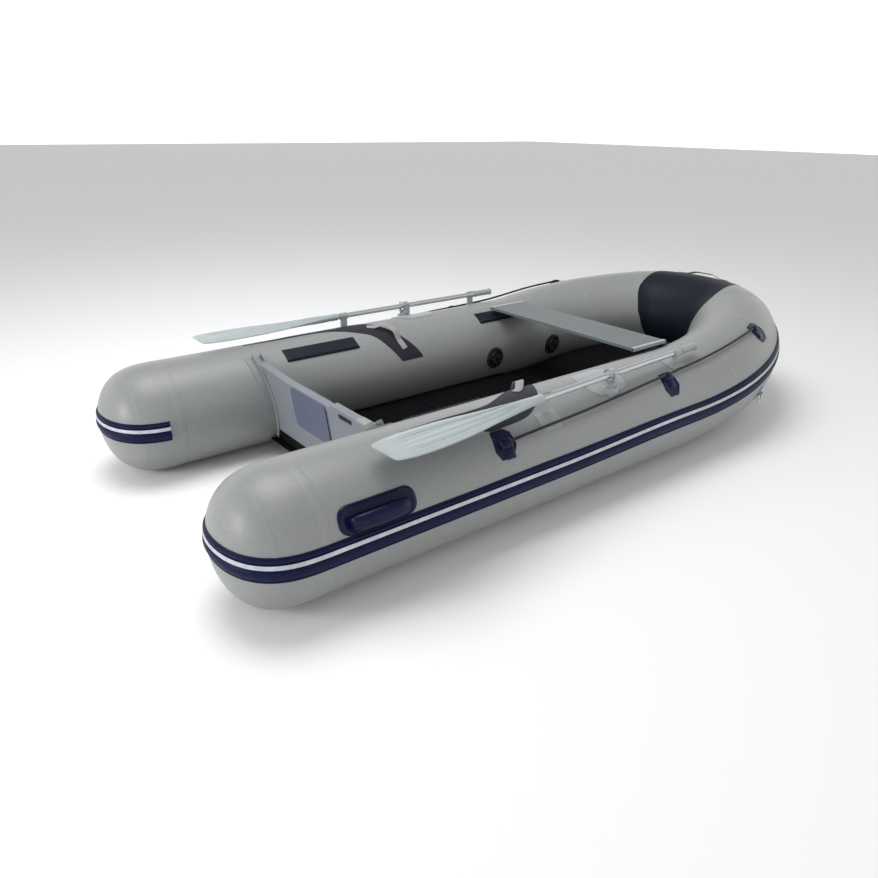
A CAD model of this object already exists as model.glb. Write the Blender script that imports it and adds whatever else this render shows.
"""An inflatable dinghy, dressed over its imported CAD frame. Metres, +X forward, +Y to port, +Z up."""

import math

import bmesh
import bpy
from mathutils import Matrix, Vector


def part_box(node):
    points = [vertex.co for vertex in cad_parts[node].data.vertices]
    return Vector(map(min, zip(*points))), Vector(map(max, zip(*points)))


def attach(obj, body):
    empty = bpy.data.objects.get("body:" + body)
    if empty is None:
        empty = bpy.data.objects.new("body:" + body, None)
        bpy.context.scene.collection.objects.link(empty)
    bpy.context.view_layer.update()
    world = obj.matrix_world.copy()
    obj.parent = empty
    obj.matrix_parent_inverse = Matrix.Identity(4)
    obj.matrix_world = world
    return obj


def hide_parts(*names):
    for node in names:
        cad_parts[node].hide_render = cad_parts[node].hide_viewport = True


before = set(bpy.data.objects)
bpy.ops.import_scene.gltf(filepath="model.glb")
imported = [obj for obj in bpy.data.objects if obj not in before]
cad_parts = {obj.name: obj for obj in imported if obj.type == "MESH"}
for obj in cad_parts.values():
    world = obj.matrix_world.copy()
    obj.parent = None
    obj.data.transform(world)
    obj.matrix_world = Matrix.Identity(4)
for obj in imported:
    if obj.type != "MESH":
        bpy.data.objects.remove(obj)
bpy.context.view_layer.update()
scene = bpy.context.scene
SIDES = ("starboard", "port")


def low(node):
    return Vector(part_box(node)[0])


def high(node):
    return Vector(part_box(node)[1])


# ---- The hull's shape, from the CAD nodes' boxes ----

R = (high("starboard_side_tube").z - low("starboard_side_tube").z) / 2
SPACING = -(high("starboard_side_tube").y + low("starboard_side_tube").y) / 2
STERN = low("starboard_stern_cone").x
CONE = high("starboard_stern_cone").x - STERN
SIDE_END = high("starboard_side_tube").x
CONE_POWER = 2.96
CONE_ROUNDING = 2.14
RISE_R = 2.055
TILT = math.radians(7.2)
BOW_ARCS = ((1.014, math.radians(41)), (0.27508, math.radians(37)), (0.663, math.radians(12)))
STRAIGHT = SIDE_END - STERN
RISE = RISE_R * TILT
BOW_START = STRAIGHT + RISE
HALF = BOW_START + sum(radius * turn for radius, turn in BOW_ARCS)
BOW_X = Vector((math.cos(TILT), 0, math.sin(TILT)))
BOW_Y = Vector((0, 1, 0))
BOW_Z = Vector((-math.sin(TILT), 0, math.cos(TILT)))
BOW_ORIGIN = Vector((SIDE_END + RISE_R * math.sin(TILT), 0, R + RISE_R * (1 - math.cos(TILT))))


def flip(v):
    return Vector((v.x, -v.y, v.z))


def for_side(row, side):
    """A row of starboard points, mirrored when it belongs to the port side."""
    return [flip(p) for p in row] if side == "port" else row


def bow_place(degrees):
    """The distance along the tube to a turn of the bow's first arc."""
    return BOW_START + BOW_ARCS[0][0] * math.radians(degrees)


def axis_at(s):
    """The tube's axis s metres from the starboard stern tip: centre, outboard, up and forward."""
    if s > HALF:
        centre, out, up, forward = axis_at(2 * HALF - s)
        return flip(centre), flip(out), flip(up), -flip(forward)
    if s <= STRAIGHT:
        return Vector((STERN + s, -SPACING, R)), Vector((0, -1, 0)), Vector((0, 0, 1)), Vector((1, 0, 0))
    if s <= BOW_START:
        turn = (s - STRAIGHT) / RISE_R
        x, z = SIDE_END + RISE_R * math.sin(turn), R + RISE_R * (1 - math.cos(turn))
        up = Vector((-math.sin(turn), 0, math.cos(turn)))
        forward = Vector((math.cos(turn), 0, math.sin(turn)))
        return Vector((x, -SPACING, z)), Vector((0, -1, 0)), up, forward
    left, x, y, heading = s - BOW_START, 0.0, -SPACING, 0.0
    for radius, turn in BOW_ARCS:
        step = min(left / radius, turn)
        x += radius * (math.sin(heading + step) - math.sin(heading))
        y += radius * (math.cos(heading) - math.cos(heading + step))
        heading += step
        left -= step * radius
        if left < 1e-9:
            break
    out = BOW_X * math.sin(heading) - BOW_Y * math.cos(heading)
    forward = BOW_X * math.cos(heading) + BOW_Y * math.sin(heading)
    return BOW_ORIGIN + BOW_X * x + BOW_Y * y, out, BOW_Z, forward


def dome(end):
    """The stern dome's radius and slope at a distance from its tip."""
    x = max(0.0, 1 - end / CONE)
    inside = max(1e-9, 1 - x**CONE_POWER)
    radius = R * inside ** (1 / CONE_ROUNDING)
    slope = R / CONE_ROUNDING * inside ** (1 / CONE_ROUNDING - 1) * CONE_POWER * x ** (CONE_POWER - 1) / CONE
    return radius, slope


def on_tube(s, angle, lift=0.0):
    """A point of the tube's surface. The angle is 0 outboard, 90 at the crown and 180 inboard."""
    centre, out, up, forward = axis_at(s)
    side = out * math.cos(math.radians(angle)) + up * math.sin(math.radians(angle))
    end = min(s, 2 * HALF - s)
    if end >= CONE:
        return centre + side * (R + lift)
    radius, slope = dome(end)
    tail = forward if s <= HALF else -forward
    return centre + side * radius + (side - tail * slope).normalized() * lift


def normal_at(s, angle):
    return (on_tube(s, angle, 0.01) - on_tube(s, angle, 0.0)).normalized()


def on_dome(height, azimuth, lift, port):
    """A point of a stern dome at a height above the axis. The azimuth is 0 outboard and 90 at the tip."""
    a = math.radians(azimuth)
    lowest, highest = 0.0, CONE
    for _ in range(40):
        end = (lowest + highest) / 2
        radius, slope = dome(end)
        wide = math.sqrt(max(0.0, radius * radius - height * height))
        if (CONE - end) * abs(math.cos(a)) > wide * math.sin(a):
            lowest = end
        else:
            highest = end
    sign = 1 if math.cos(a) >= 0 else -1
    side = Vector((0, -sign * wide, height))
    point = Vector((STERN + end, -SPACING, R)) + side
    point += (side.normalized() - Vector((slope, 0, 0))).normalized() * lift
    return flip(point) if port else point


# ---- Mesh helpers ----


def new_object(name, mesh, body="hull"):
    obj = bpy.data.objects.new(name, mesh)
    scene.collection.objects.link(obj)
    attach(obj, body)
    return obj


def finish_mesh(name, bm, material, body="hull", sharp=35, replaces=()):
    bmesh.ops.recalc_face_normals(bm, faces=bm.faces)
    mesh = bpy.data.meshes.new(name)
    bm.to_mesh(mesh)
    bm.free()
    mesh.polygons.foreach_set("use_smooth", [True] * len(mesh.polygons))
    mesh.set_sharp_from_angle(angle=math.radians(sharp))
    mesh.materials.append(material)
    obj = new_object(name, mesh, body)
    if replaces:
        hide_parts(*replaces)
    return obj


def add_grid(bm, rows, closed=False, caps=False, uvs=None):
    """Quads between rows of points. A closed row joins up with its own start."""
    layer = bm.loops.layers.uv.verify()
    grid = [[bm.verts.new(point) for point in row] for row in rows]
    width = len(rows[0])
    for i in range(len(rows) - 1):
        for j in range(width if closed else width - 1):
            k = (j + 1) % width
            corners = [(i, j, j), (i, k, j + 1), (i + 1, k, j + 1), (i + 1, j, j)]
            face = bm.faces.new([grid[a][b] for a, b, _ in corners])
            if uvs:
                for loop, (a, _, c) in zip(face.loops, corners):
                    loop[layer].uv = uvs[a][c]
    if caps:
        bm.faces.new(grid[0])
        bm.faces.new(grid[-1])
    return grid


def spread(first, last, count):
    return [first + (last - first) * i / (count - 1) for i in range(count)]


def smooth_steps(points, count):
    """Points along a Catmull-Rom curve through the given ones."""
    out = []
    for n in range(count):
        t = n / (count - 1) * (len(points) - 1)
        i = min(int(t), len(points) - 2)
        f = t - i
        p0, p1, p2, p3 = (points[max(0, min(len(points) - 1, i + k))] for k in (-1, 0, 1, 2))
        out.append(tuple(
            0.5 * (2 * b + (c - a) * f + (2 * a - 5 * b + 4 * c - d) * f * f + (3 * b - a - 3 * c + d) * f**3)
            for a, b, c, d in zip(p0, p1, p2, p3)
        ))
    return out


def curve_at(table, x):
    """A value from a short table of (place, value) pairs, eased between them."""
    if x <= table[0][0]:
        return table[0][1]
    for (x0, v0), (x1, v1) in zip(table, table[1:]):
        if x <= x1:
            f = (x - x0) / (x1 - x0)
            return v0 + (v1 - v0) * f * f * (3 - 2 * f)
    return table[-1][1]


def linear(table, x):
    """A value from a short table of (place, value) pairs, in straight steps."""
    for (x0, v0), (x1, v1) in zip(table, table[1:]):
        if x <= x1:
            return v0 + (v1 - v0) * max(0.0, (x - x0) / (x1 - x0))
    return table[-1][1]


# ---- Materials ----


class Shader:
    """A small builder for one procedural material."""

    def __init__(self, name, roughness, metallic=0.0, specular=0.5):
        self.material = bpy.data.materials.new(name)
        self.material.use_nodes = True
        self.tree = self.material.node_tree
        self.bsdf = self.tree.nodes["Principled BSDF"]
        self.bsdf.inputs["Roughness"].default_value = roughness
        self.bsdf.inputs["Metallic"].default_value = metallic
        self.bsdf.inputs["Specular IOR Level"].default_value = specular
        self.place = self.tree.nodes.new("ShaderNodeTexCoord")
        self.bump = None

    def link(self, a, b):
        self.tree.links.new(a, b)

    def noise(self, scale, detail=4.0, coords="Object", stretch=None, rough=0.5):
        node = self.tree.nodes.new("ShaderNodeTexNoise")
        node.inputs["Scale"].default_value = scale
        node.inputs["Detail"].default_value = detail
        node.inputs["Roughness"].default_value = rough
        source = self.place.outputs[coords]
        if stretch:
            mapping = self.tree.nodes.new("ShaderNodeMapping")
            mapping.inputs["Scale"].default_value = stretch
            self.link(source, mapping.inputs["Vector"])
            source = mapping.outputs["Vector"]
        self.link(source, node.inputs["Vector"])
        return node.outputs["Fac"]

    def wave(self, pitch, direction):
        node = self.tree.nodes.new("ShaderNodeTexWave")
        node.bands_direction = direction
        node.wave_profile = "SIN"
        node.inputs["Scale"].default_value = 2 * math.pi / pitch / 20
        self.link(self.place.outputs["UV"], node.inputs["Vector"])
        return node.outputs["Fac"]

    def maths(self, operation, a, b=None):
        node = self.tree.nodes.new("ShaderNodeMath")
        node.operation = operation
        for socket, value in zip(node.inputs, (a, b)):
            if isinstance(value, (int, float)):
                socket.default_value = value
            elif value is not None:
                self.link(value, socket)
        return node.outputs[0]

    def ramp(self, factor, stops):
        node = self.tree.nodes.new("ShaderNodeValToRGB")
        ramp = node.color_ramp
        while len(ramp.elements) < len(stops):
            ramp.elements.new(0.5)
        for element, (place, colour) in zip(ramp.elements, stops):
            element.position = place
            element.color = (*colour, 1)
        self.link(factor, node.inputs["Fac"])
        return node.outputs["Color"]

    def mix(self, factor, a, b):
        node = self.tree.nodes.new("ShaderNodeMix")
        node.data_type = "RGBA"
        if isinstance(factor, float):
            node.inputs[0].default_value = factor
        else:
            self.link(factor, node.inputs[0])
        for socket, value in ((node.inputs[6], a), (node.inputs[7], b)):
            if isinstance(value, tuple):
                socket.default_value = (*value, 1)
            else:
                self.link(value, socket)
        return node.outputs[2]

    def colour(self, socket):
        self.link(socket, self.bsdf.inputs["Base Color"])

    def roughness(self, socket, lowest, highest):
        node = self.tree.nodes.new("ShaderNodeMapRange")
        node.inputs["To Min"].default_value = lowest
        node.inputs["To Max"].default_value = highest
        self.link(socket, node.inputs["Value"])
        self.link(node.outputs["Result"], self.bsdf.inputs["Roughness"])

    def relief(self, height, distance, strength=1.0):
        node = self.tree.nodes.new("ShaderNodeBump")
        node.inputs["Distance"].default_value = distance
        node.inputs["Strength"].default_value = strength
        self.link(height, node.inputs["Height"])
        if self.bump:
            self.link(self.bump, node.inputs["Normal"])
        self.bump = node.outputs["Normal"]
        self.link(self.bump, self.bsdf.inputs["Normal"])

    def set(self, **values):
        for name, value in values.items():
            self.bsdf.inputs[name.replace("_", " ")].default_value = value


def tint(colour, amount):
    return tuple(min(1.0, c * amount) for c in colour)


def mottled(shader, base, spread_amount, scale=3.0, fine=90.0):
    """A base colour with broad soft variation and a fine speckle."""
    darker, lighter = tint(base, 1 - spread_amount), tint(base, 1 + spread_amount)
    broad = shader.ramp(shader.noise(scale, 5), ((0.3, darker), (0.7, lighter)))
    grain = shader.noise(fine, 3, rough=0.7)
    speckle = shader.ramp(grain, ((0.35, tint(base, 0.9)), (0.65, tint(base, 1.1))))
    return shader.mix(0.4, broad, speckle)


WEAVE_PITCH = 0.0011
RIB_PITCH = 0.0022


def coated_fabric(name, base, roughness=0.48, spread_amount=0.035, specular=0.4, gloss=0.05):
    """Coated boat cloth: a satin skin with the base cloth's weave showing through."""
    shader = Shader(name, roughness, specular=specular)
    shader.colour(mottled(shader, base, spread_amount))
    shader.roughness(shader.noise(14, 4), roughness - 0.06, roughness + 0.08)
    cloth = shader.maths("MULTIPLY", shader.wave(WEAVE_PITCH, "X"), shader.wave(WEAVE_PITCH, "Y"))
    shader.relief(shader.noise(5.5, 3), 0.004, 0.25)
    shader.relief(cloth, 0.00012, 0.6)
    shader.relief(shader.noise(420, 2), 0.0002, 0.35)
    shader.set(Coat_Weight=gloss, Coat_Roughness=0.32)
    return shader.material


def rubber(name, base, roughness=0.42, specular=0.3):
    """Extruded or moulded rubber with draw lines and dust in its pores."""
    shader = Shader(name, roughness, specular=specular)
    dust = shader.ramp(shader.noise(38, 6, rough=0.65), ((0.45, base), (0.8, tint(base, 1.9))))
    worn = shader.ramp(shader.noise(4, 3), ((0.3, base), (0.7, tint(base, 1.35))))
    shader.colour(shader.mix(0.5, dust, worn))
    shader.roughness(shader.noise(25, 4), roughness - 0.1, roughness + 0.14)
    shader.relief(shader.noise(30, 4, coords="UV", stretch=(0.6, 40, 1)), 0.0006, 0.25)
    shader.relief(shader.noise(900, 2), 0.0001, 0.4)
    return shader.material


def painted_wood(name, base, grain=0.5, roughness=0.45, specular=0.35):
    """Painted marine plywood: the grain telegraphs through the paint."""
    shader = Shader(name, roughness, specular=specular)
    shader.colour(mottled(shader, base, 0.06, scale=5, fine=160))
    lines = shader.noise(22, 6, stretch=(1.0, 0.12, 1.0), rough=0.6)
    shader.relief(lines, 0.0008, grain)
    shader.relief(shader.noise(300, 3), 0.0002, 0.3)
    shader.roughness(lines, roughness - 0.08, roughness + 0.12)
    return shader.material


def plastic(name, base, roughness=0.4, clear=0.0, specular=0.4):
    """Moulded plastic with a fine spark-eroded texture; clear lets some light through."""
    shader = Shader(name, roughness, specular=specular)
    shader.colour(mottled(shader, base, 0.04, scale=9, fine=240))
    shader.relief(shader.noise(1100, 2), 0.00012, 0.4)
    shader.relief(shader.noise(24, 3), 0.0008, 0.15)
    shader.roughness(shader.noise(40, 4), roughness - 0.08, roughness + 0.1)
    if clear:
        shader.set(Subsurface_Weight=clear, Subsurface_Scale=0.01, Coat_Weight=0.15, Coat_Roughness=0.2)
    return shader.material


def brushed(name, base, roughness=0.3):
    """Drawn or brushed metal with fine scratches along X."""
    shader = Shader(name, roughness, metallic=1.0)
    scratches = shader.noise(60, 6, stretch=(1.0, 30.0, 30.0), rough=0.7)
    shader.colour(shader.ramp(scratches, ((0.3, tint(base, 0.86)), (0.7, tint(base, 1.06)))))
    shader.roughness(scratches, roughness - 0.08, roughness + 0.15)
    shader.relief(scratches, 0.0002, 0.3)
    return shader.material


def webbing(name, base):
    """Woven strap or rope: ribs across its width and a fuzzy sheen."""
    shader = Shader(name, 0.8, specular=0.2)
    shader.colour(mottled(shader, base, 0.08, scale=20, fine=500))
    rib = shader.maths("MULTIPLY", shader.wave(RIB_PITCH, "X"), shader.wave(RIB_PITCH * 0.7, "Y"))
    shader.relief(rib, 0.0008, 0.8)
    shader.set(Sheen_Weight=0.2, Sheen_Roughness=0.5)
    return shader.material


GREY_FABRIC = coated_fabric("grey_boat_fabric", (0.246, 0.254, 0.252), 0.40, specular=0.45, gloss=0.22)
SEAM_FABRIC = coated_fabric("grey_seam_tape", (0.252, 0.260, 0.258), 0.40, specular=0.45, gloss=0.22)
NAVY_FABRIC = coated_fabric("navy_boat_fabric", (0.0085, 0.0100, 0.0190), 0.5, 0.12, specular=0.14)
DARK_FABRIC = coated_fabric("charcoal_boat_fabric", (0.022, 0.023, 0.030), 0.6, 0.1, specular=0.15)
BLACK_FABRIC = coated_fabric("black_bottom_fabric", (0.004, 0.004, 0.005), 0.7, 0.15, specular=0.1)
NAVY_RUBBER = rubber("navy_strake_rubber", (0.0046, 0.0072, 0.0330), roughness=0.45, specular=0.12)
WHITE_RUBBER = rubber("white_stripe_rubber", (0.43, 0.45, 0.49))
NAVY_MOULDING = plastic("navy_moulding", (0.0028, 0.0048, 0.0320), roughness=0.3, specular=0.2)
TRANSOM_PAINT = painted_wood("transom_paint", (0.210, 0.228, 0.254))
BENCH_PAINT = painted_wood("bench_paint", (0.132, 0.150, 0.155))
BOARD_PAINT = painted_wood("floor_non_slip_paint", (0.0030, 0.0030, 0.0040), 0.9, 0.8, specular=0.08)
PAD_PLASTIC = plastic("motor_pad_plastic", (0.112, 0.122, 0.186), roughness=0.55, specular=0.25)
PALE_PLASTIC = plastic("pale_fitting_plastic", (0.320, 0.345, 0.350), roughness=0.33, clear=0.2)
BLADE_PLASTIC = plastic("oar_blade_plastic", (0.370, 0.415, 0.425), roughness=0.3, clear=0.2)
BLACK_PLASTIC = plastic("black_valve_plastic", (0.0060, 0.0065, 0.0080), roughness=0.4, specular=0.2)
WORN_PLASTIC = plastic("worn_valve_plastic", (0.050, 0.053, 0.058), roughness=0.5, specular=0.25)
HOLDER_PVC = plastic("transom_channel_pvc", (0.240, 0.250, 0.256), roughness=0.5)
ALUMINIUM = brushed("anodised_aluminium", (0.60, 0.62, 0.64))
BLACK_ALUMINIUM = brushed("black_anodised_aluminium", (0.012, 0.012, 0.014), roughness=0.5)
STEEL = brushed("stainless_steel", (0.72, 0.72, 0.70), roughness=0.4)
ROPE = webbing("black_rope", (0.0070, 0.0070, 0.0090))
STRAP = webbing("pale_webbing", (0.330, 0.338, 0.330))

# ---- Camera ----

camera = bpy.data.objects.new("camera", bpy.data.cameras.new("camera"))
scene.collection.objects.link(camera)
scene.camera = camera
camera.data.sensor_width = 36
camera.data.lens = 29.056
camera.location = (-2.10258, -2.15609, 1.27201)
YAW, PITCH, ROLL = 0.899474, -0.420707, 0.0136572
aim = Vector((math.cos(PITCH) * math.cos(YAW), math.cos(PITCH) * math.sin(YAW), math.sin(PITCH)))
right = aim.cross(Vector((0, 0, 1))).normalized()
above = right.cross(aim)
right, above = (
    right * math.cos(ROLL) + above * math.sin(ROLL),
    above * math.cos(ROLL) - right * math.sin(ROLL),
)
camera.rotation_mode = "QUATERNION"
camera.rotation_quaternion = Matrix((right, above, -aim)).transposed().to_quaternion()

# ---- Lifelines ----

ROPE_R = 0.005
ROPE_HEIGHT = 0.013
ROPE_STEP = 0.0026
STRAND_PITCH = 0.036
# Each point of the route: metres along the tube's axis, and the angle round it.
ROPE_ROUTE = [
    (0.917, 42.0), (1.062, 43.9), (1.215, 45.4), (1.368, 47.6), (1.516, 50.3), (1.652, 53.1), (1.785, 55.2),
    (1.912, 57.8), (STRAIGHT + RISE * 3.4 / 7.2, 59.8), (bow_place(0.6), 61.0), (bow_place(6.0), 61.3),
    (bow_place(11.6), 60.2), (bow_place(16.3), 58.0),
]
GUIDE_PLACES = ((0.902, 42.3), (1.785, 46.5), (bow_place(17.9), 52.0))


def rope_line(points):
    """The NURBS curve over the route, read as points."""
    data = bpy.data.curves.new("route", "CURVE")
    data.dimensions = "3D"
    data.resolution_u = 24
    spline = data.splines.new("NURBS")
    spline.points.add(len(points) - 1)
    for target, point in zip(spline.points, points):
        target.co = (*point, 1)
    spline.order_u = 3
    spline.use_endpoint_u = True
    obj = bpy.data.objects.new("route", data)
    scene.collection.objects.link(obj)
    bpy.context.view_layer.update()
    mesh = bpy.data.meshes.new_from_object(obj)
    line = [v.co.copy() for v in mesh.vertices]
    bpy.data.objects.remove(obj)
    return line


def lifeline(side):
    """A three-strand rope, pulled taut through its guides."""
    line = rope_line(for_side([on_tube(s, angle, ROPE_HEIGHT) for s, angle in ROPE_ROUTE], side))
    lengths = [0.0]
    for a, b in zip(line, line[1:]):
        lengths.append(lengths[-1] + (b - a).length)
    total = lengths[-1]
    points, i = [], 0
    for n in range(int(total / ROPE_STEP) + 1):
        want = min(n * ROPE_STEP, total)
        while i < len(lengths) - 2 and lengths[i + 1] < want:
            i += 1
        points.append(line[i].lerp(line[i + 1], (want - lengths[i]) / (lengths[i + 1] - lengths[i])))
    points.append(line[-1])
    rows, uvs, sides = [], [], 18
    for n, point in enumerate(points):
        ahead = (points[min(n + 1, len(points) - 1)] - points[max(n - 1, 0)]).normalized()
        across = ahead.cross(Vector((0, 0, 1))).normalized()
        over = across.cross(ahead)
        twist = 2 * math.pi * n * ROPE_STEP / STRAND_PITCH
        ring = []
        for k in range(sides):
            a = 2 * math.pi * k / sides
            bulge = ROPE_R * (0.84 + 0.16 * abs(math.cos(1.5 * (a - twist))))
            ring.append(point + (across * math.cos(a) + over * math.sin(a)) * bulge)
        rows.append(ring)
        uvs.append([(n * ROPE_STEP, k / sides * 0.03) for k in range(sides + 1)])
    bm = bmesh.new()
    add_grid(bm, rows, closed=True, caps=True, uvs=uvs)
    obj = finish_mesh(f"{side}_lifeline_rope", bm, ROPE, sharp=70, replaces=[f"{side}_lifeline"])


for side in SIDES:
    lifeline(side)

# ---- Tubes ----

RING = 96


def tube_piece(name, stations, replaces):
    rows = [[on_tube(s, 360 * k / RING) for k in range(RING)] for s in stations]
    uvs = [[(s, 2 * math.pi * R * k / RING) for k in range(RING + 1)] for s in stations]
    bm = bmesh.new()
    add_grid(bm, rows, closed=True, caps=False, uvs=uvs)
    bmesh.ops.remove_doubles(bm, verts=bm.verts, dist=1e-6)
    return finish_mesh(name, bm, GREY_FABRIC, sharp=60, replaces=replaces)


def seam_tape(name, place, width=0.026, thick=0.0006):
    """A glued tape over a seam that runs round the tube."""
    profile = [(-0.5, 0), (-0.47, thick * 0.8), (-0.4, thick), (0.4, thick), (0.47, thick * 0.8), (0.5, 0)]
    rows, uvs = [], []
    for across, lift in profile:
        rows.append([on_tube(place + across * width, 360 * k / RING, lift) for k in range(RING)])
        uvs.append([(place + across * width, 2 * math.pi * R * k / RING) for k in range(RING + 1)])
    bm = bmesh.new()
    add_grid(bm, rows, closed=True, uvs=uvs)
    return finish_mesh(name, bm, SEAM_FABRIC)


DOME_STEPS = 40
DOME_CAP = 0.097
SEAMS = (("dome", CONE), ("bow", BOW_START), ("gore", bow_place(20.5)), ("shoulder", bow_place(41)))


def along(side, stations):
    """Distances from the starboard stern tip, for stations counted from the side's own tip."""
    return stations if side == "starboard" else [2 * HALF - s for s in stations]


dome_stations = [CONE * (1 - math.cos(math.pi / 2 * i / DOME_STEPS)) for i in range(DOME_STEPS + 1)]
corner_end = HALF - BOW_ARCS[2][0] * BOW_ARCS[2][1]
for side in SIDES:
    tube_piece(f"{side}_stern_dome", along(side, dome_stations), [f"{side}_stern_cone"])
    tube_piece(
        f"{side}_tube_fabric",
        along(side, spread(CONE, BOW_START, 90)),
        [f"{side}_side_tube", f"{side}_rise_tube"],
    )
    tube_piece(
        f"{side}_bow_fabric",
        along(side, spread(BOW_START, corner_end, 80)),
        [f"{side}_bow_gore_aft", f"{side}_bow_gore_fore", f"{side}_bow_corner"],
    )
    for label, place in SEAMS:
        seam_tape(f"{side}_{label}_seam", along(side, [place])[0])
    seam_tape(f"{side}_dome_cap_seam", along(side, [DOME_CAP])[0], width=0.012, thick=0.0007)
tube_piece("bow_nose_fabric", spread(corner_end, 2 * HALF - corner_end, 30), ["bow_nose"])

# ---- Strake ----

# Heights above the tube's axis, by distance along it
STRAKE_BOTTOM = ((0.234, -0.026), (1.1, -0.026), (1.8, -0.0155), (2.4, -0.0160), (3.2, -0.018))
STRAKE_TOP = ((0.234, 0.0475), (0.7, 0.0480), (1.1, 0.0525), (1.8, 0.0610), (2.4, 0.0640), (3.2, 0.062))
STRIPE_MIDDLE = ((0.234, 0.0208), (1.1, 0.0217), (1.8, 0.0338), (2.4, 0.0320), (3.2, 0.028))
STRIPE_HALF = 0.0068
# How much higher the strake stands at the stern tip
TIP_LIFT = 0.007
# How far round the dome the strake's inboard end lies
INBOARD_AZIMUTH = 168


def strake_profile(place):
    """Heights and lifts of the strake's outer face, from its lower edge to its upper edge."""
    bottom, top, middle = (curve_at(t, place) for t in (STRAKE_BOTTOM, STRAKE_TOP, STRIPE_MIDDLE))
    lip, groove = 0.006, 0.0022
    points = [
        (bottom, 0.0), (bottom + 0.0008, 0.0028), (bottom + lip - groove, 0.0032), (bottom + lip, 0.0012),
    ]
    bulge_low, bulge_high = bottom + lip + 0.001, middle - STRIPE_HALF - groove
    for f in spread(0, 1, 9):
        lift = 0.0018 + 0.0062 * math.sin(math.pi * f) ** 0.55
        points.append((bulge_low + (bulge_high - bulge_low) * f, lift))
    points += [
        (middle - STRIPE_HALF - groove * 0.7, 0.0016), (middle - STRIPE_HALF, 0.0048),
        (middle + STRIPE_HALF, 0.0048), (middle + STRIPE_HALF + groove * 0.7, 0.0016),
    ]
    upper_low, upper_high = middle + STRIPE_HALF + groove, top - lip
    for f in spread(0, 1, 7):
        lift = 0.0018 + 0.0040 * math.sin(math.pi * f) ** 0.5
        points.append((upper_low + (upper_high - upper_low) * f, lift))
    points += [
        (top - lip + 0.001, 0.0012), (top - lip + groove, 0.0030), (top - 0.0008, 0.0026), (top, 0.0),
    ]
    return points


def stripe_profile(place):
    middle = curve_at(STRIPE_MIDDLE, place)
    h = STRIPE_HALF * 0.94
    return [(middle - h, 0.0045), (middle - h * 0.9, 0.0060), (middle - h * 0.4, 0.0066),
            (middle + h * 0.4, 0.0066), (middle + h * 0.9, 0.0060), (middle + h, 0.0045)]


def strake_rows(profile, port):
    """Rows from the inboard end round the stern dome and along the tube to the middle of the bow."""
    rows, uvs, travelled = [], [], 0.0
    places = [("dome", a) for a in spread(INBOARD_AZIMUTH, 2, 84)]
    places += [("tube", s) for s in spread(CONE, BOW_START, 60)]
    places += [("tube", s) for s in spread(BOW_START, HALF, 90)[1:]]
    for kind, place in places:
        row = []
        for height, lift in profile(CONE if kind == "dome" else place):
            if kind == "dome":
                height += TIP_LIFT * math.sin(math.radians(place)) ** 2
                row.append(on_dome(height, place, lift, port))
            else:
                angle = math.degrees(math.asin(height / R))
                point = on_tube(place, angle, lift)
                row.append(flip(point) if port else point)
        if rows:
            travelled += (row[0] - rows[-1][0]).length
        rows.append(row)
        uvs.append([(travelled, 0.004 * k) for k in range(len(row))])
    return rows, uvs


for side in SIDES:
    bm = bmesh.new()
    rows, uvs = strake_rows(strake_profile, side == "port")
    grid = add_grid(bm, rows, uvs=uvs)
    bm.faces.new(grid[0])
    finish_mesh(f"{side}_rubbing_strake", bm, NAVY_RUBBER, sharp=50, replaces=[f"{side}_strake"])
bm = bmesh.new()
for port in (False, True):
    rows, uvs = strake_rows(stripe_profile, port)
    add_grid(bm, rows, uvs=uvs)
finish_mesh("strake_stripe", bm, WHITE_RUBBER, sharp=50, replaces=["strake_stripes"])

# ---- Glued patches ----

PATCH_POINTS = 120


def resample(outline, count):
    """Evenly spaced points round a closed outline."""
    closed = outline + [outline[0]]
    lengths = [0.0]
    for (x0, y0), (x1, y1) in zip(closed, closed[1:]):
        lengths.append(lengths[-1] + math.hypot(x1 - x0, y1 - y0))
    out, i = [], 0
    for n in range(count):
        want = lengths[-1] * n / count
        while lengths[i + 1] < want:
            i += 1
        f = (want - lengths[i]) / (lengths[i + 1] - lengths[i])
        out.append(tuple(a + (b - a) * f for a, b in zip(closed[i], closed[i + 1])))
    return out


def rounded_outline(length, width, radius):
    points, turns = [], 8
    for cx, cy, start in ((1, 1, 0), (-1, 1, 90), (-1, -1, 180), (1, -1, 270)):
        for k in range(turns + 1):
            a = math.radians(start + 90 * k / turns)
            points.append((cx * (length / 2 - radius) + radius * math.cos(a),
                           cy * (width / 2 - radius) + radius * math.sin(a)))
    return points


def add_patch(bm, side, place, angle, outline, thick, rim=0.0, shrink=0.94):
    """A glued patch on the tube, from a star-shaped outline; rim raises a bead just inside its edge."""
    shape = resample(outline, PATCH_POINTS)
    rings = [(1.0, 0.0), (1.0, thick * 0.6), (0.985, thick)]
    rings += [(share, thick + rim) for share in (shrink, shrink - 0.05)]
    rings += [(share, thick) for share in (shrink - 0.1, 0.7, 0.5, 0.3, 0.12)]
    rows, uvs = [], []
    for share, lift in rings:
        row = [on_tube(place + u * share, angle + math.degrees(v * share / R), lift) for u, v in shape]
        rows.append(for_side(row, side))
        uv = [(place + u * share, v * share) for u, v in shape]
        uvs.append(uv + [uv[0]])
    grid = add_grid(bm, rows, closed=True, uvs=uvs)
    bm.faces.new(grid[-1])


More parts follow.
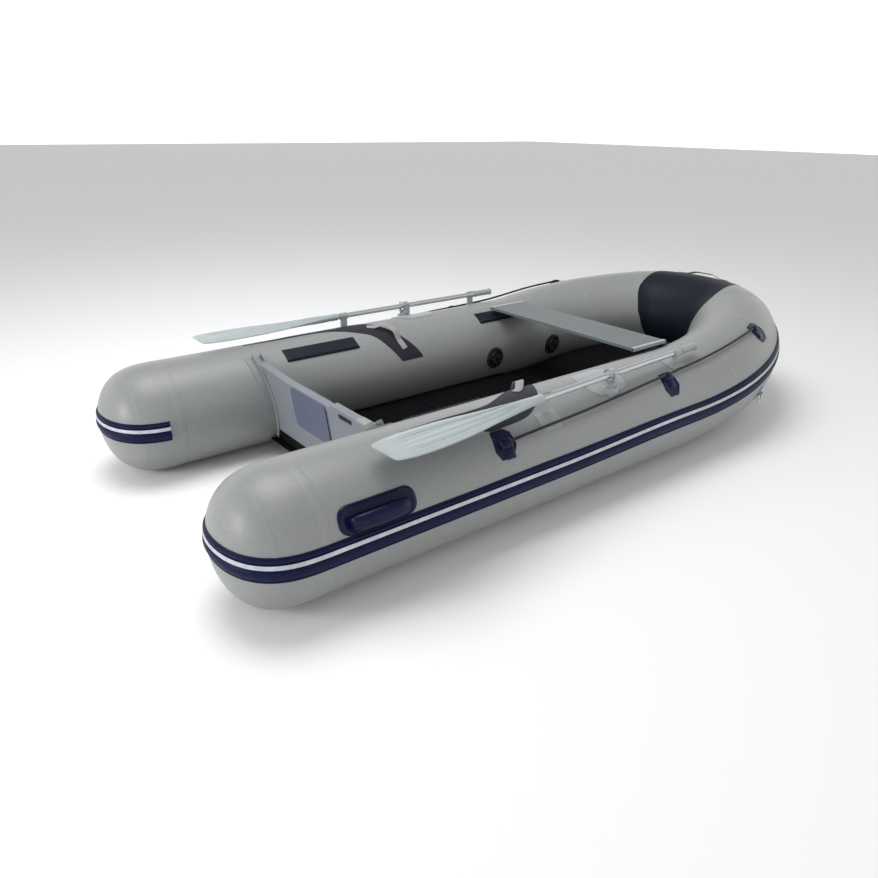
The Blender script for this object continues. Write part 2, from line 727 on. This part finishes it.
def add_ribbon(bm, centre_line, normals, width, thick):
    """A flat strap along a line, with rounded edges."""
    rows, uvs, travelled = [], [], 0.0
    section = [
        (-0.5, 0), (-0.46, 0.5), (0, 0.56), (0.46, 0.5), (0.5, 0), (0.46, -0.5), (0, -0.56), (-0.46, -0.5),
    ]
    for i, point in enumerate(centre_line):
        ahead = (centre_line[min(i + 1, len(centre_line) - 1)] - centre_line[max(i - 1, 0)]).normalized()
        across = ahead.cross(normals[i]).normalized()
        over = across.cross(ahead)
        rows.append([point + across * (x * width) + over * (y * thick) for x, y in section])
        if i:
            travelled += (point - centre_line[i - 1]).length
        uvs.append([(travelled, x * width) for x, _ in section] + [(travelled, -0.5 * width)])
    add_grid(bm, rows, closed=True, caps=True, uvs=uvs)


def strap(name, side, route, width, thick, rise_height, replaces):
    """A webbing handle through points given as (place, angle), arched clear of the tube."""
    steps = smooth_steps(route, 48)
    line, normals = [], []
    # The glued feet and the climbs from them, as shares of the length
    foot, slope = 0.17, 0.22
    for n, (s, angle) in enumerate(steps):
        f = n / (len(steps) - 1)
        climb = min(1.0, max(0.0, (f - foot) / slope)) * min(1.0, max(0.0, (1 - foot - f) / slope))
        lift = 0.0035 + rise_height * climb * climb * (3 - 2 * climb)
        point, normal = on_tube(s, angle, lift), normal_at(s, angle)
        line.append(flip(point) if side == "port" else point)
        normals.append(flip(normal) if side == "port" else normal)
    bm = bmesh.new()
    add_ribbon(bm, line, normals, width, thick)
    finish_mesh(name, bm, STRAP, sharp=60, replaces=replaces)


# The chafe patches under the strap handles: two edges as (place, angle), from the tail to the inboard end
AFT_EDGE = [
    (0.594, 85.0), (0.754, 86.8), (0.87, 86.5), (0.95, 88.0), (1.015, 94.5), (1.11, 109.5), (1.154, 118),
    (1.2, 138), (1.238, 155), (1.25, 159),
]
FORE_EDGE = [
    (0.594, 83.6), (0.70, 82.0), (0.80, 76.0), (0.86, 57.5), (0.94, 56.5), (1.04, 58.9), (1.10, 66.0),
    (1.163, 79.1), (1.226, 102.4), (1.319, 138), (1.352, 152), (1.362, 158.5),
]
STRAP_ROUTE = ((1.165, 98), (1.205, 104), (1.245, 114), (1.262, 128), (1.277, 144))
# How far each side's strap stands forward of the route
STRAP_SHIFT = {"starboard": -0.042, "port": 0.0}


def add_chafe_patch(bm, side):
    steps, across, thick = 110, 14, 0.0013
    aft, fore = smooth_steps(AFT_EDGE, steps), smooth_steps(FORE_EDGE, steps)
    rows, uvs = [], []
    for (s0, a0), (s1, a1) in zip(aft, fore):
        row = [on_tube(s0, a0, 0.0)]
        uv = [(s0, math.radians(a0) * R)]
        for f in spread(0, 1, across):
            s, a = s0 + (s1 - s0) * f, a0 + (a1 - a0) * f
            row.append(on_tube(s, a, thick))
            uv.append((s, math.radians(a) * R))
        row.append(on_tube(s1, a1, 0.0))
        uv.append((s1, math.radians(a1) * R))
        rows.append(for_side(row, side))
        uvs.append(uv)
    add_grid(bm, rows, uvs=uvs)


bm = bmesh.new()
for side in SIDES:
    add_chafe_patch(bm, side)
finish_mesh("handle_chafe_patches", bm, DARK_FABRIC, replaces=["handle_patches"])
for side in SIDES:
    route = [(s + STRAP_SHIFT[side], angle) for s, angle in STRAP_ROUTE]
    strap(f"{side}_webbing_handle", side, route, 0.03, 0.0028, 0.022, [f"{side}_strap_handle"])

# The bow band and its handle. Half the band's breadth on each side, by height above the ground
BAND_PORT = ((0.19, 0.128), (0.31, 0.145), (0.40, 0.173), (0.47, 0.207), (0.54, 0.226))
BAND_STARBOARD = ((0.24, 0.203), (0.34, 0.205), (0.39, 0.208), (0.44, 0.212), (0.49, 0.226))


def band_edge(angle, table):
    """How far from the bow's middle the band reaches at an angle, found by halving."""
    nearest, furthest = 0.05, 0.75
    for _ in range(30):
        middle = (nearest + furthest) / 2
        point = on_tube(HALF - middle, angle)
        if abs(point.y) < linear(table, point.z):
            nearest = middle
        else:
            furthest = middle
    return nearest


# From just over the strake's upper edge to the band's edge inside the bow
angles = spread(math.degrees(math.asin(0.066 / R)) + 0.6, 212, 100)
rows, uvs = [], []
for n, angle in enumerate(angles):
    to_starboard, to_port_side = band_edge(angle, BAND_STARBOARD), band_edge(angle, BAND_PORT)
    lift = 0.0 if n in (0, len(angles) - 1) else 0.0014
    places = spread(HALF - to_starboard, HALF + to_port_side, 61)
    rows.append([on_tube(places[0], angle, 0.0)] + [on_tube(s, angle, lift) for s in places]
                + [on_tube(places[-1], angle, 0.0)])
    uvs.append([(s, math.radians(angle) * R) for s in [places[0], *places, places[-1]]])
bm = bmesh.new()
add_grid(bm, rows, uvs=uvs)
finish_mesh("bow_chafe_band", bm, NAVY_FABRIC, replaces=["bow_band"])
route = [(HALF + shift, 64) for shift in (-0.128, -0.05, 0.05, 0.128)]
strap("bow_webbing_handle", "starboard", route, 0.03, 0.003, 0.014, ["bow_handle"])

# Lifeline guides
bm = bmesh.new()
GUIDE_OUTLINE = [
    (-0.046, -0.02), (-0.030, -0.052), (0.018, -0.052), (0.044, -0.016), (0.040, 0.03), (0.02, 0.047),
    (-0.034, 0.047),
]
for side in SIDES:
    for place, angle in GUIDE_PLACES:
        add_patch(bm, side, place, angle, GUIDE_OUTLINE, 0.0028, rim=0.0008)
finish_mesh("lifeline_patches", bm, NAVY_MOULDING, replaces=["lifeline_guides"])


def add_saddle(bm, side, place, angle, length, width, height):
    """A moulded hump that the rope passes through, blending down into the patch."""
    rows = []
    for f in spread(-1, 1, 17):
        swell = (1 - abs(f) ** 3) ** 0.5 if abs(f) < 1 else 0.0
        row = []
        for g in spread(-1, 1, 15):
            lift = 0.002 + height * swell * max(0.0, 1 - abs(g) ** 2.6) ** 0.5
            row.append(on_tube(place + f * length / 2, angle + math.degrees(g * width / 2 / R), lift))
        rows.append(for_side(row, side))
    add_grid(bm, rows)


bm = bmesh.new()
for side in SIDES:
    guided = (ROPE_ROUTE[0], ROPE_ROUTE[6], ROPE_ROUTE[-1])
    for (s, angle), shift in zip(guided, (-0.013, 0.0, 0.013)):
        add_saddle(bm, side, s + shift, angle - 1, 0.05, 0.036, 0.019)
        add_saddle(bm, side, s + shift * 0.5, angle - 9, 0.036, 0.042, 0.0065)
finish_mesh("lifeline_saddles", bm, NAVY_MOULDING, sharp=60)

# Carry handles
CARRY_PLACE = 0.402
CARRY_ANGLE = 24.8
GRIP_HALF = 0.097


def carry_handle(side):
    bm = bmesh.new()
    outline = rounded_outline(0.254, 0.084, 0.034)
    add_patch(bm, side, CARRY_PLACE, CARRY_ANGLE, outline, 0.004, rim=0.0035, shrink=0.93)
    rows = []
    for f in spread(-1, 1, 61):
        climb = (1 - abs(f) ** 3.2) ** 0.5 if abs(f) < 1 else 0.0
        middle = 0.004 + 0.030 * climb
        wide = 0.013 + 0.0065 * climb
        tall = 0.007 + 0.005 * climb
        row = []
        for k in range(20):
            a = 2 * math.pi * k / 20
            angle = CARRY_ANGLE - 2.5 + math.degrees(wide * math.cos(a) / R)
            row.append(on_tube(CARRY_PLACE + f * GRIP_HALF, angle, max(0.002, middle + tall * math.sin(a))))
        rows.append(for_side(row, side))
    add_grid(bm, rows, closed=True, caps=True)
    finish_mesh(f"{side}_moulded_handle", bm, NAVY_MOULDING, sharp=50, replaces=[f"{side}_carry_handle"])


for side in SIDES:
    carry_handle(side)

# Seat tracks
TRACKS = ((0.713, 1.058), (1.758, 2.092))
TRACK_STEPS = 40
TRACK_PROFILE = [
    (113.0, 0.0), (113.3, 0.0022), (114.5, 0.0026), (119, 0.0022), (125, 0.0022), (126.5, 0.003),
    (127.3, 0.007), (128.6, 0.0095), (130.2, 0.009), (131.2, 0.006), (131.4, 0.002), (131.5, 0.0),
]
bm = bmesh.new()
for side in SIDES:
    for first, last in TRACKS:
        rows, uvs = [], []
        for n, s in enumerate(spread(first, last, TRACK_STEPS)):
            shrink = 0.35 if n in (0, TRACK_STEPS - 1) else 1.0
            row = [on_tube(s, angle, lift * shrink) for angle, lift in TRACK_PROFILE]
            rows.append(for_side(row, side))
            uvs.append([(s, math.radians(angle) * R) for angle, _ in TRACK_PROFILE])
        grid = add_grid(bm, rows, uvs=uvs)
        bm.faces.new(grid[0])
        bm.faces.new(grid[-1])
finish_mesh("seat_track_strips", bm, NAVY_FABRIC, replaces=["seat_tracks"])

# ---- Valves ----


def lathe(bm, matrix, profile, sides=64):
    """Spins a profile of (radius, height) about a plane's own axis."""
    rows = []
    turns = [2 * math.pi * k / sides for k in range(sides)]
    for radius, height in profile:
        rows.append([matrix @ Vector((radius * math.cos(a), radius * math.sin(a), height)) for a in turns])
    grid = add_grid(bm, rows, closed=True)
    bm.faces.new(grid[-1])


def surface_matrix(s, angle, port):
    """A frame on the tube: X along it, Z straight out."""
    centre, _, _, forward = axis_at(s)
    point, normal = on_tube(s, angle), normal_at(s, angle)
    if port:
        point, normal, forward = flip(point), flip(normal), flip(forward)
    across = normal.cross(forward).normalized()
    ahead = across.cross(normal)
    return Matrix.Translation(point) @ Matrix((ahead, across, normal)).transposed().to_4x4()


def bar(bm, matrix, x0, x1, z0, z1, width):
    """A bevelled rib from x0 to x1."""
    rows = []
    w = width / 2
    for x, shrink in ((x0, 0.6), (x0 + 0.001, 1), (x1 - 0.001, 1), (x1, 0.6)):
        section = [(-w, z0), (-w, z1 - w * 0.6), (-w * 0.5, z1), (w * 0.5, z1), (w, z1 - w * 0.6), (w, z0)]
        rows.append([matrix @ Vector((x, v * shrink, z0 + (z - z0) * shrink)) for v, z in section])
    add_grid(bm, rows, closed=True, caps=True)


# Each valve: its name, its place and angle on the tube, and whether it is on the port side
VALVES = (("starboard", 1.799, 182, False), ("port_aft", 1.799, 182, True),
          ("port_fore", bow_place(1.2), 187, True))
# Radius and height of each corner of the turned shapes
RING_PROFILE = (
    (0.0525, -0.006), (0.0525, 0.0015), (0.051, 0.0035), (0.047, 0.0045), (0.044, 0.0042),
    (0.0405, 0.0045), (0.039, 0.0085), (0.0368, 0.009), (0.0362, 0.006), (0.026, 0.006),
)
CAP_PROFILE = (
    (0.0345, 0.0085), (0.035, 0.011), (0.0338, 0.0138), (0.0315, 0.0143), (0.0295, 0.0132),
    (0.0285, 0.0112), (0.014, 0.0108), (0.0125, 0.0132), (0.0105, 0.0142), (0.001, 0.0146),
)
RING_RIBS = 28
CAP_RIBS = 8
rings, ring_ribs = bmesh.new(), bmesh.new()
for name, s, angle, port in VALVES:
    matrix = surface_matrix(s, angle, port)
    lathe(rings, matrix, RING_PROFILE)
    for k in range(RING_RIBS):
        rib = matrix @ Matrix.Rotation(2 * math.pi * k / RING_RIBS, 4, "Z")
        bar(ring_ribs, rib, 0.0415, 0.0495, 0.003, 0.0062, 0.004)
    bm = bmesh.new()
    lathe(bm, matrix, CAP_PROFILE)
    finish_mesh(f"{name}_valve_cap_moulding", bm, BLACK_PLASTIC, body=f"{name}_cap",
                replaces=[f"{name}_valve_cap"])
    bm = bmesh.new()
    for k in range(CAP_RIBS):
        rib = matrix @ Matrix.Rotation(2 * math.pi * k / CAP_RIBS, 4, "Z")
        bar(bm, rib, 0.0118, 0.0302, 0.0095, 0.0158, 0.0050)
    finish_mesh(f"{name}_valve_cap_ribs", bm, WORN_PLASTIC, body=f"{name}_cap")
finish_mesh("valve_rings", rings, BLACK_PLASTIC, replaces=["valve_bodies"])
finish_mesh("valve_ring_ribs", ring_ribs, WORN_PLASTIC)

# ---- Oar blades and grips ----

OAR_Z = 0.450
YAW_OF = {"starboard": math.radians(3.4), "port": 0.0}
# The blade's half width and thickness, by distance from the oarlock
HALF_WIDTHS = (
    (-1.032, 0.050), (-1.0305, 0.056), (-1.027, 0.0605), (-1.015, 0.0660), (-0.98, 0.0735), (-0.92, 0.0780),
    (-0.86, 0.0770), (-0.78, 0.0720), (-0.70, 0.0610), (-0.62, 0.0475), (-0.55, 0.0365), (-0.48, 0.0255),
    (-0.42, 0.0170), (-0.38, 0.0156),
)
THICKNESSES = (
    (-1.032, 0.0025), (-1.005, 0.0035), (-0.66, 0.004), (-0.56, 0.007), (-0.47, 0.0125), (-0.40, 0.0156),
    (-0.38, 0.0156),
)


def oar_matrix(side):
    place = (low(f"{side}_oarlock") + high(f"{side}_oarlock")) / 2
    place.z = OAR_Z
    return Matrix.Translation(place) @ Matrix.Rotation(YAW_OF[side], 4, "Z")


def blade(side):
    """A moulded blade: a thin leaf with a spine and two ribs, swelling towards the shaft."""
    matrix, sides = oar_matrix(side), 96
    lengths = [-1.032 + 0.03 * (i / 14) ** 2 for i in range(14)] + spread(-1.002, -0.38, 72)
    rows, uvs = [], []
    for x in lengths:
        wide, thick = linear(HALF_WIDTHS, x), linear(THICKNESSES, x)
        flat = min(1.0, max(0.0, (-0.42 - x) / 0.12))
        fade = flat * min(1.0, max(0.0, (x + 0.995) / 0.05))
        row = []
        for k in range(sides):
            a = 2 * math.pi * k / sides
            y = math.cos(a)
            z = thick * math.copysign(abs(math.sin(a)) ** (1.0 - 0.72 * flat), math.sin(a))
            rise = min(1.0, max(0.0, (x + 1.0) / 0.45))
            spine = 0.0085 * math.exp(-((y * wide) / 0.010) ** 2) * flat * rise
            ribs = sum(0.0042 * math.exp(-((y - r) / 0.055) ** 2) for r in (-0.52, 0.52))
            groove = sum(-0.0022 * math.exp(-((y - r) / 0.08) ** 2) for r in (-0.34, 0.34, -0.72, 0.72))
            if abs(math.sin(a)) > 1e-6:
                z += math.copysign(spine + (ribs + groove) * fade, math.sin(a))
            row.append(matrix @ Vector((x, y * wide, z)))
        rows.append(row)
        uvs.append([(x, 0.3 * k / sides) for k in range(sides + 1)])
    bm = bmesh.new()
    add_grid(bm, rows, closed=True, caps=True, uvs=uvs)
    finish_mesh(f"{side}_oar_blade_moulding", bm, BLADE_PLASTIC, body=f"{side}_oar", sharp=50,
                replaces=[f"{side}_oar_blade"])


def grip(side):
    matrix = oar_matrix(side) @ Matrix.Translation((0.45, 0, 0)) @ Matrix.Rotation(math.pi / 2, 4, "Y")
    profile = [(0.0117, 0.0), (0.0161, 0.0005), (0.0165, 0.003), (0.0161, 0.006)]
    for k in range(9):
        z = 0.010 + k * 0.0102
        profile += [(0.0137, z), (0.0150, z + 0.002), (0.0150, z + 0.006), (0.0137, z + 0.0082)]
    profile += [(0.0142, 0.1035), (0.0163, 0.105), (0.0161, 0.108), (0.013, 0.1098), (0.001, 0.11)]
    bm = bmesh.new()
    lathe(bm, matrix, profile, 48)
    finish_mesh(f"{side}_oar_grip_moulding", bm, PALE_PLASTIC, body=f"{side}_oar",
                replaces=[f"{side}_oar_grip"])


for side in SIDES:
    blade(side)
    grip(side)

# ---- Materials for the CAD nodes that stay ----

KEPT = {
    "transom_board": TRANSOM_PAINT, "bench_board": BENCH_PAINT, "outer_motor_pad": PAD_PLASTIC,
    "inner_motor_pad": PAD_PLASTIC, "transom_holders": HOLDER_PVC, "transom_plate": BLACK_PLASTIC,
    "drain_flange": BLACK_PLASTIC, "drain_plug": BLACK_PLASTIC, "bottom_fabric": BLACK_FABRIC,
    "keel_tube": BLACK_FABRIC, "floorboard_aft": BOARD_PAINT, "floorboard_middle": BOARD_PAINT,
    "floorboard_bow": BOARD_PAINT, "floor_joiners": BLACK_ALUMINIUM, "floor_stringers": BLACK_ALUMINIUM,
    "bench_ends": ALUMINIUM, "oarlock_bases": PALE_PLASTIC, "oar_clips": PALE_PLASTIC,
    "starboard_oarlock": PALE_PLASTIC, "port_oarlock": PALE_PLASTIC, "starboard_oar_shaft": ALUMINIUM,
    "port_oar_shaft": ALUMINIUM, "towing_patches": GREY_FABRIC, "starboard_towing_ring": STEEL,
    "port_towing_ring": STEEL,
}
for node, material in KEPT.items():
    for material_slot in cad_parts[node].material_slots:
        material_slot.material = material

# ---- Transom trim ----

RAKE = math.radians(7.5)
TRANSOM_Z = 0.235
TRANSOM_BASE = Vector((0.618 + STERN, 0, TRANSOM_Z))
TRANSOM_UP = Vector((-math.sin(RAKE), 0, math.cos(RAKE)))
TRANSOM_OUT = Vector((math.cos(RAKE), 0, math.sin(RAKE)))


def on_transom(y, z, lift):
    """A point at a height above the ground, a distance forward of the board's middle."""
    along_board = (z - TRANSOM_Z) / math.cos(RAKE)
    return TRANSOM_BASE + Vector((0, y, 0)) + TRANSOM_UP * along_board + TRANSOM_OUT * lift


def tube_gap(z):
    """Half the open width between the tubes at a height."""
    return SPACING - math.sqrt(max(0.0, (R + 0.0045) ** 2 - (z - R) ** 2))


def transom_flap():
    """Black fabric glued over the board's lower edge and on to the bottom."""
    loop = [(0.121, -0.0152), (0.1205, -0.0172), (0.10, -0.0172), (0.078, -0.0172), (0.0735, -0.014),
            (0.0735, 0.014), (0.078, 0.0172), (0.10, 0.0172), (0.1205, 0.0172), (0.121, 0.0152)]
    rows, uvs = [], []
    for f in spread(-1, 1, 49):
        rows.append([on_transom(f * (tube_gap(z) - 0.001), z, lift) for z, lift in loop])
        uvs.append([(f * 0.35, 0.02 * k) for k in range(len(loop))])
    bm = bmesh.new()
    add_grid(bm, rows, uvs=uvs)
    finish_mesh("transom_fabric_flap", bm, BLACK_FABRIC)


transom_flap()


def transom_trim():
    """A pale strip folded over the end of the board's starboard shoulder."""
    top, drop, skin, half = 0.388, 0.006, 0.0014, 0.015
    loop = [
        (top - drop, -half - 0.0002), (top - drop, -half - skin), (top + 0.001, -half - skin),
        (top + skin + 0.001, -half + 0.001), (top + skin + 0.001, half - 0.001), (top + 0.001, half + skin),
        (top - drop, half + skin), (top - drop, half + 0.0002),
    ]
    rows, uvs = [], []
    for y in spread(-0.330, -0.405, 40):
        rows.append([on_transom(y, z, lift) for z, lift in loop])
        uvs.append([(y, 0.012 * k) for k in range(len(loop))])
    bm = bmesh.new()
    grid = add_grid(bm, rows, uvs=uvs)
    for row in (grid[0], grid[-1]):
        bm.faces.new(row)
    finish_mesh("transom_edge_strip", bm, STRAP)


transom_trim()

# ---- Studio ----

world = bpy.data.worlds.new("studio")
scene.world = world
world.use_nodes = True
sky = world.node_tree.nodes.new("ShaderNodeTexCoord")
split = world.node_tree.nodes.new("ShaderNodeSeparateXYZ")
fade = world.node_tree.nodes.new("ShaderNodeValToRGB")
fade.color_ramp.elements[0].position = 0.18
fade.color_ramp.elements[0].color = (1, 1, 1, 1)
fade.color_ramp.elements[1].position = 0.48
fade.color_ramp.elements[1].color = (0.38, 0.385, 0.39, 1)
world.node_tree.links.new(sky.outputs["Generated"], split.inputs["Vector"])
world.node_tree.links.new(split.outputs["Z"], fade.inputs["Fac"])
world.node_tree.links.new(fade.outputs["Color"], world.node_tree.nodes["Background"].inputs["Color"])
world.node_tree.nodes["Background"].inputs["Strength"].default_value = 1.3
scene.view_settings.view_transform = "Standard"

FLOOR_HALF = 40
FLOOR_Z = -0.001
corners = [(x * FLOOR_HALF, y * FLOOR_HALF, FLOOR_Z) for x, y in ((-1, -1), (1, -1), (1, 1), (-1, 1))]
floor_mesh = bpy.data.meshes.new("studio_floor")
floor_mesh.from_pydata(corners, [], [(0, 1, 2, 3)])
floor_shader = Shader("studio_floor", 0.9)
floor_shader.set(Base_Color=(0.93, 0.93, 0.93, 1))
floor_mesh.materials.append(floor_shader.material)
floor = bpy.data.objects.new("studio_floor", floor_mesh)
scene.collection.objects.link(floor)


def softbox(name, location, target, size, power):
    light = bpy.data.lights.new(name, "AREA")
    light.shape = "DISK"
    light.size = size
    light.energy = power
    obj = bpy.data.objects.new(name, light)
    obj.location = location
    obj.rotation_mode = "QUATERNION"
    obj.rotation_quaternion = (Vector(target) - Vector(location)).to_track_quat("-Z", "Y")
    scene.collection.objects.link(obj)


softbox("overhead", (-0.9, 0.5, 4.2), (0, 0, 0), 3.0, 115)
softbox("stern_left", (-4.8, 0.2, 1.5), (-0.8, -0.3, 0.2), 1.1, 48)
